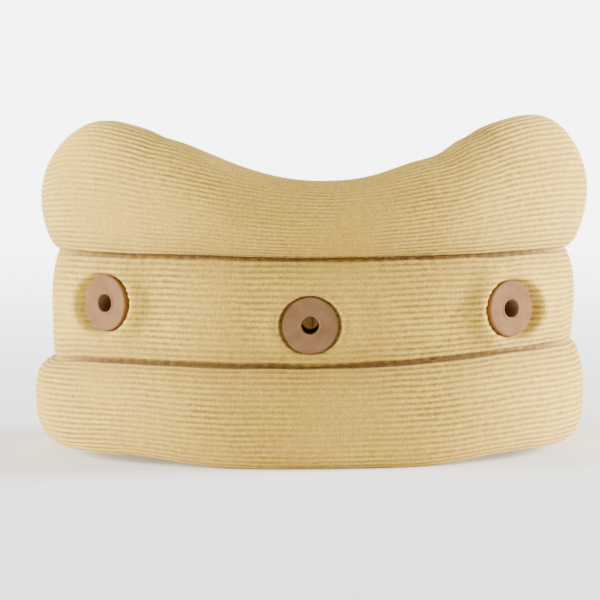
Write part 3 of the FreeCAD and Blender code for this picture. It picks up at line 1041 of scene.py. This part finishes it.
def seam_stitches(material):
    """Both stitched rows, outside and inside, one piece per stretch of the wall."""
    grid = np.arange(-END_AT + SEAM_END_GAP, END_AT - SEAM_END_GAP, STITCH_PITCH)
    rows = {"lower": (seam_low_z, LOW_ROOT), "upper": (seam_high_z, HIGH_ROOT)}
    for row, (seam, root) in rows.items():
        for stretch, (low, high) in STRETCHES.items():
            starts = grid[(grid >= low) & (grid < high)]
            stitches = []
            for out in (root + STITCH_PROUD, INNER_STITCH_OUT):
                for at in starts:
                    s = np.linspace(at + STITCH_GAP, at + STITCH_PITCH - STITCH_GAP, 7)
                    stitches.append((place(s, out, seam(s)), wall_normals(s) * np.sign(out)))
            name = f"{row}_stitches_{stretch}"
            obj = stitch_mesh(name, stitches, STITCH_RADIUS, material)
            attach(obj, stretch)
            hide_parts(f"{row}_seam_thread_{stretch}")


# ---- ends and closure


def tape_rings(side):
    """Rings of the tape over a wing's end, from its edge on the knit to its closed middle."""
    levels = [(past, off, 1.0) for past, off in TAPE_EDGE]
    levels += [(past, TAPE_THICK, 1.0) for past in np.arange(-6.0, 0.1, 1.0)]
    for turn in np.linspace(0.15, math.pi / 2, 9):
        levels.append((TAPE_DOME * math.sin(turn), TAPE_THICK, math.cos(turn)))
    rings = []
    for past, off, share in levels:
        at = np.array([side * (END_AT + min(past, 0.0))])
        section = section_rows(at, -off, TAPE_PANELS)[0]
        middle = (section[:, 1].min() + section[:, 1].max()) / 2
        out = section[:, 0] * share
        z = middle + (section[:, 1] - middle) * (0.94 + 0.06 * share)
        rings.append(place(np.full(len(section), side * (END_AT + past)), out, z))
    return np.stack(rings if side > 0 else rings[::-1])


def tape_stitches(side):
    """Stitches round the tape, all but its underside."""
    at = np.array([side * (END_AT - TAPE_STITCH_AT)])
    ring = section_rows(at, -TAPE_STITCH_LIFT, TAPE_STITCH_PANELS)[0]
    loop = place(np.full(len(ring), at[0]), ring[:, 0], ring[:, 1])
    middle = place(at, 0.0, TAPE_MIDDLE_Z)[0]
    along_wall = np.cross(wall_normals(at)[0], [0, 0, 1.0])
    last = len(loop) - TAPE_STITCH_PANELS[-1] - TAPE_STITCH_ROWS
    stitches = []
    for i in range(0, last, TAPE_STITCH_ROWS):
        line = loop[i : i + TAPE_STITCH_ROWS]
        normal = unit(np.cross(along_wall, line[-1] - line[0]))
        if np.dot(normal, line[0] - middle) < 0:
            normal = -normal
        stitches.append((line, np.broadcast_to(normal, line.shape)))
    return stitches


def end_binding(side, material, thread):
    """Tape folded over a wing's end, closed across it, with a row of stitches."""
    name = "left" if side < 0 else "right"
    points = tape_rings(side)
    count, rows = points.shape[:2]
    faces = grid_faces(count, rows)
    obj = make_mesh("end_binding_tape_" + name, points, faces, material)
    add_attribute(obj, "across", np.broadcast_to(np.arange(rows) * WEAVE_PITCH, (count, rows)))
    add_attribute(obj, "along", np.broadcast_to(np.arange(count)[:, None], (count, rows)))
    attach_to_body(obj, name + "_wing")
    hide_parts("end_binding_" + name)
    row = "end_binding_stitches_" + name
    stitches = stitch_mesh(row, tape_stitches(side), TAPE_STITCH_RADIUS, thread)
    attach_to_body(stitches, name + "_wing")


def rounded_half(half, gap, corner):
    """Half height of a strip this far from its end, for an end with rounded corners."""
    if gap >= corner:
        return half
    return half - corner + math.sqrt(max(corner**2 - (corner - gap) ** 2, 0))


def ribbon(name, alongs, out_of, thick, heights, corners, material, relief=None, z_rows=26):
    """A flat strip along the nape with rounded ends: a closed grid of columns."""
    middle, half = (heights[0] + heights[1]) / 2, (heights[1] - heights[0]) / 2
    share = np.linspace(-1, 1, z_rows)
    bow = 0.35 * share**2
    edge = np.array([0.25, 0.5, 0.75])
    swell = np.sin(math.pi * edge) * 0.18
    rings = []
    for a in alongs:
        gaps = (a - alongs[0], alongs[-1] - a)
        tall = min(rounded_half(half, gap, corner) for gap, corner in zip(gaps, corners))
        z = middle + tall * share
        inner = out_of(a) - bow
        outer = out_of(a) + thick - bow - 0.12 * share**8
        if relief is not None:
            outer = outer + relief(a, z)
        s = nape(np.full(z_rows, a))
        outer_points = place(s, outer, z)
        inner_points = place(s, inner, z)[::-1]
        top_edge = outer_points[-1] + (inner_points[0] - outer_points[-1]) * edge[:, None]
        low_edge = inner_points[-1] + (outer_points[0] - inner_points[-1]) * edge[:, None]
        top_edge[:, 2] += swell
        low_edge[:, 2] -= swell
        rings.append(np.concatenate([outer_points, top_edge, inner_points, low_edge]))
    points = np.stack(rings)[::-1]
    count, rows = points.shape[:2]
    last_ring = range((count - 1) * rows, count * rows)
    faces = [*grid_faces(count, rows), range(rows), reversed(last_ring)]
    obj = make_mesh(name, points, faces, material)
    add_attribute(obj, "across", points[..., 2])
    add_attribute(obj, "along", np.broadcast_to(alongs[::-1, None], (count, rows)))
    return obj


def strap_out(along):
    """Distance out of the strap's inner face: it steps up where it passes over the loop strip."""
    rise = ease(along, PEEL_AT, TAB_LEVEL_AT)
    return STRAP_BASE_OUT + 0.15 + (STRAP_TIP_OUT - STRAP_BASE_OUT) * rise


def strap_face(along):
    return strap_out(along) + 1.0


def box_stitches(first, last, inset, out_of, cross=False):
    """Stitches round a rectangle on the strap, with an optional cross inside."""
    low, high = STRAP_LOW_Z + inset, STRAP_HIGH_Z - inset
    corners = [(first, low), (last, low), (last, high), (first, high), (first, low)]
    paths = list(zip(corners, corners[1:]))
    if cross:
        paths += [(corners[0], corners[2]), (corners[3], corners[1])]
    stitches = []
    for (a0, z0), (a1, z1) in paths:
        count = max(1, round(math.hypot(a1 - a0, z1 - z0) / BOX_STITCH_PITCH))
        for i in range(count):
            t = np.linspace((i + 0.12) / count, (i + 0.88) / count, 5)
            a = a0 + (a1 - a0) * t
            s = nape(a)
            line = place(s, out_of(a), z0 + (z1 - z0) * t)
            stitches.append((line, wall_normals(s)))
    return stitches


def nape_point(along):
    """A point of the strap in metres."""
    return tuple(place(nape(np.array([along])), 10.0, STRAP_MIDDLE_Z)[0] * MM)


def closure(materials):
    """The strap, its hook pad, the loop pad and the stitches that hold them."""
    thread = materials["thread"]
    body = np.arange(ANCHOR_START, TAB_END - TIP_CORNER, 1.2)
    strap = ribbon(
        "closure_strap",
        np.concatenate([body, np.linspace(TAB_END - TIP_CORNER, TAB_END, 14)]),
        strap_out, STRAP_THICK - 0.15,
        (STRAP_LOW_Z, STRAP_HIGH_Z), (SMALL_CORNER, TIP_CORNER),
        materials["strap"],
    )
    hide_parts("strap_anchor", "tab_strap")
    start, end = nape_point(PEEL_AT - PEEL_REACH), nape_point(PEEL_AT + PEEL_REACH)
    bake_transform(strap)

    stitches = box_stitches(-43.0, -20.5, 3.0, strap_face, cross=True)
    anchor = stitch_mesh("anchor_box_stitches", stitches, BOX_STITCH_RADIUS, thread)
    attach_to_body(anchor, "left_wing")
    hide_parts("anchor_stitching")

    stitches = box_stitches(16.5, 47.5, 3.5, strap_face)
    hooked = stitch_mesh("hook_edge_stitches", stitches, BOX_STITCH_RADIUS, thread)
    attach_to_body(hooked, "closure_tab")
    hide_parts("hook_stitching")

    body = np.arange(HOOK_START, HOOK_END - HOOK_CORNER, 1.2)
    hook = ribbon(
        "hook_pad",
        np.concatenate([body, np.linspace(HOOK_END - HOOK_CORNER, HOOK_END, 12)]),
        lambda a: strap_out(a) - 0.85, 0.8,
        (STRAP_LOW_Z + 1, STRAP_HIGH_Z - 1), (1.0, HOOK_CORNER),
        materials["hook"],
    )
    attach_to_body(hook, "closure_tab")
    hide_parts("hook_patch")

    prickle = noise_field(31, 12, 1.6, 3.0)
    first_end = np.linspace(LOOP_START, LOOP_START + SMALL_CORNER, 6)
    body = np.arange(LOOP_START + 3.6, LOOP_END - 3.4, 0.6)
    last_end = np.linspace(LOOP_END - SMALL_CORNER, LOOP_END, 6)
    loop = ribbon(
        "loop_pad",
        np.concatenate([first_end, body, last_end]),
        lambda a: LOOP_OUT, 0.75,
        (STRAP_LOW_Z - 0.5, STRAP_HIGH_Z + 0.5), (SMALL_CORNER, SMALL_CORNER),
        materials["loop"],
        relief=lambda a, z: 0.06 * prickle(a, z) * (np.abs(z - STRAP_MIDDLE_Z) < 11),
        z_rows=44,
    )
    bend_wing(loop, 1)
    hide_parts("loop_strip")

    stitches = box_stitches(13.5, 70.5, 0.6, lambda a: LOOP_STITCH_OUT)
    edge = stitch_mesh("loop_edge_stitches", stitches, LOOP_STITCH_RADIUS, thread)
    bend_wing(edge, 1)
    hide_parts("loop_stitching")


# ---- frame nodes that show


def finish_frame_nodes(materials):
    """Better materials for the eyelets, the washers and the plate, which stay as they are."""
    for name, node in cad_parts.items():
        for start, material in (("eyelet", "eyelet"), ("support_plate", "plate")):
            if name.startswith(start):
                node.data.materials.clear()
                node.data.materials.append(materials[material])


# ---- studio

FLOOR_REACH = 2.4
COVE_RADIUS = 1.2
BOWL_SIDES = 96
GLOW_START_Y = 0.05
GLOW_END_Y = 1.4
NEAR_GLOW = 0.25
FAR_GLOW = 5.0
GLOW_TOP_START = 0.35
GLOW_TOP_END = 0.8
WORLD_LIGHT = 0.08
SOFTBOXES = (
    ("left_softbox", (-1.95, -0.16, 0.50), (1.2, 0.8), 165.0),
    ("right_softbox", (1.95, 0.12, 0.50), (1.2, 0.8), 225.0),
    ("top_softbox", (0.0, -0.5, 2.2), (1.4, 1.4), 5.0),
)
LAMP_AIM = (0.0, 0.0, 0.05)

# Camera: straight ahead and a little above, with a long lens. Angles in degrees.
CAMERA_AT = (0.0, -1.25, 0.1261)
CAMERA_LENS = 245.0
CAMERA_PITCH = 86.3
CAMERA_ROLL = -0.5
CAMERA_YAW = 0.175


def studio_paper():
    """White paper that glows more and more towards the back, so that it reads as clean white."""
    n = Nodes("studio_paper")
    split = n.add("ShaderNodeSeparateXYZ")
    n.fill(split, {"Vector": n.position()})
    glow = {}
    for axis, start, end, first, last in (
        ("Y", GLOW_START_Y, GLOW_END_Y, NEAR_GLOW, FAR_GLOW),
        ("Z", GLOW_TOP_START, GLOW_TOP_END, 1.0, NEAR_GLOW / FAR_GLOW),
    ):
        sweep = n.add("ShaderNodeMapRange", interpolation_type="SMOOTHSTEP")
        n.fill(sweep, {"Value": split.outputs[axis], "From Min": start, "From Max": end})
        n.fill(sweep, {"To Min": first, "To Max": last})
        glow[axis] = sweep.outputs["Result"]
    strength = n.maths("MULTIPLY", glow["Y"], glow["Z"])
    n.fill(n.shader, {"Emission Color": WHITE, "Emission Strength": strength})
    return n.finish((0.92, 0.92, 0.92), 0.9, specular=0.05)


def studio_bowl():
    """A round floor of paper that curves up into a low wall all round."""
    profile = [(0.4, 0.0), (1.2, 0.0)]
    for lean in np.linspace(0, math.pi / 2, 25):
        reach = FLOOR_REACH + COVE_RADIUS * math.sin(lean)
        profile.append((reach, COVE_RADIUS * (1 - math.cos(lean))))
    angle = 2 * math.pi * np.arange(BOWL_SIDES) / BOWL_SIDES
    x, y = np.cos(angle), np.sin(angle)
    rings = [np.stack([r * x, r * y, z + 0 * angle], axis=-1) for r, z in profile]
    points = np.concatenate([np.zeros((1, 3))] + rings) / MM
    faces = [(0, 1 + i, 1 + (i + 1) % BOWL_SIDES) for i in range(BOWL_SIDES)]
    faces += list(grid_faces(len(rings), BOWL_SIDES) + 1)
    return make_mesh("studio_bowl", points, faces, studio_paper())


def studio():
    studio_bowl()
    world = bpy.context.scene.world or bpy.data.worlds.new("World")
    bpy.context.scene.world = world
    world.use_nodes = True
    background = world.node_tree.nodes["Background"]
    background.inputs["Color"].default_value = (1.0, 0.99, 0.97, 1.0)
    background.inputs["Strength"].default_value = WORLD_LIGHT
    for name, spot, size, power in SOFTBOXES:
        light = bpy.data.lights.new(name, "AREA")
        light.shape = "RECTANGLE"
        light.size, light.size_y = size
        light.energy = power
        lamp = bpy.data.objects.new(name, light)
        lamp.location = spot
        ray = Vector(LAMP_AIM) - Vector(spot)
        lamp.rotation_euler = ray.to_track_quat("-Z", "Y").to_euler()
        lamp.visible_camera = False
        bpy.context.scene.collection.objects.link(lamp)


def camera():
    data = bpy.data.cameras.new("camera")
    data.sensor_width = 36.0
    data.lens = CAMERA_LENS
    data.clip_start = 0.05
    data.clip_end = 20.0
    obj = bpy.data.objects.new("camera", data)
    bpy.context.scene.collection.objects.link(obj)
    turn = Matrix.Identity(4)
    for degrees, axis in ((CAMERA_YAW, "Z"), (CAMERA_PITCH, "X"), (CAMERA_ROLL, "Z")):
        turn = turn @ Matrix.Rotation(math.radians(degrees), 4, axis)
    obj.matrix_world = Matrix.Translation(CAMERA_AT) @ turn
    bpy.context.scene.camera = obj


# ---- build

MATERIALS = {
    "knit": knit_material(),
    "foam": foam_material(),
    "plate": plate_material(),
    "eyelet": plastic_material(),
    "thread": thread_material(),
    "binding": weave_material("binding", (0.42, 0.27, 0.10), (0.58, 0.40, 0.17), 5.0),
    "strap": weave_material("strap", (0.38, 0.25, 0.10), (0.56, 0.39, 0.17), 5.5),
    "hook": pile_material("hook", (0.28, 0.18, 0.08), (0.52, 0.37, 0.18), 1300),
    "loop": pile_material("loop", (0.40, 0.28, 0.12), (0.62, 0.46, 0.23), 700),
}
CLOTH_MOVES = simulate_cover()
knit_cover(MATERIALS["knit"], CLOTH_MOVES)
foam_core(MATERIALS["foam"], CLOTH_MOVES)
seam_stitches(MATERIALS["thread"])
for wing_side in (-1, 1):
    end_binding(wing_side, MATERIALS["binding"], MATERIALS["thread"])
closure(MATERIALS)
finish_frame_nodes(MATERIALS)
studio()
camera()
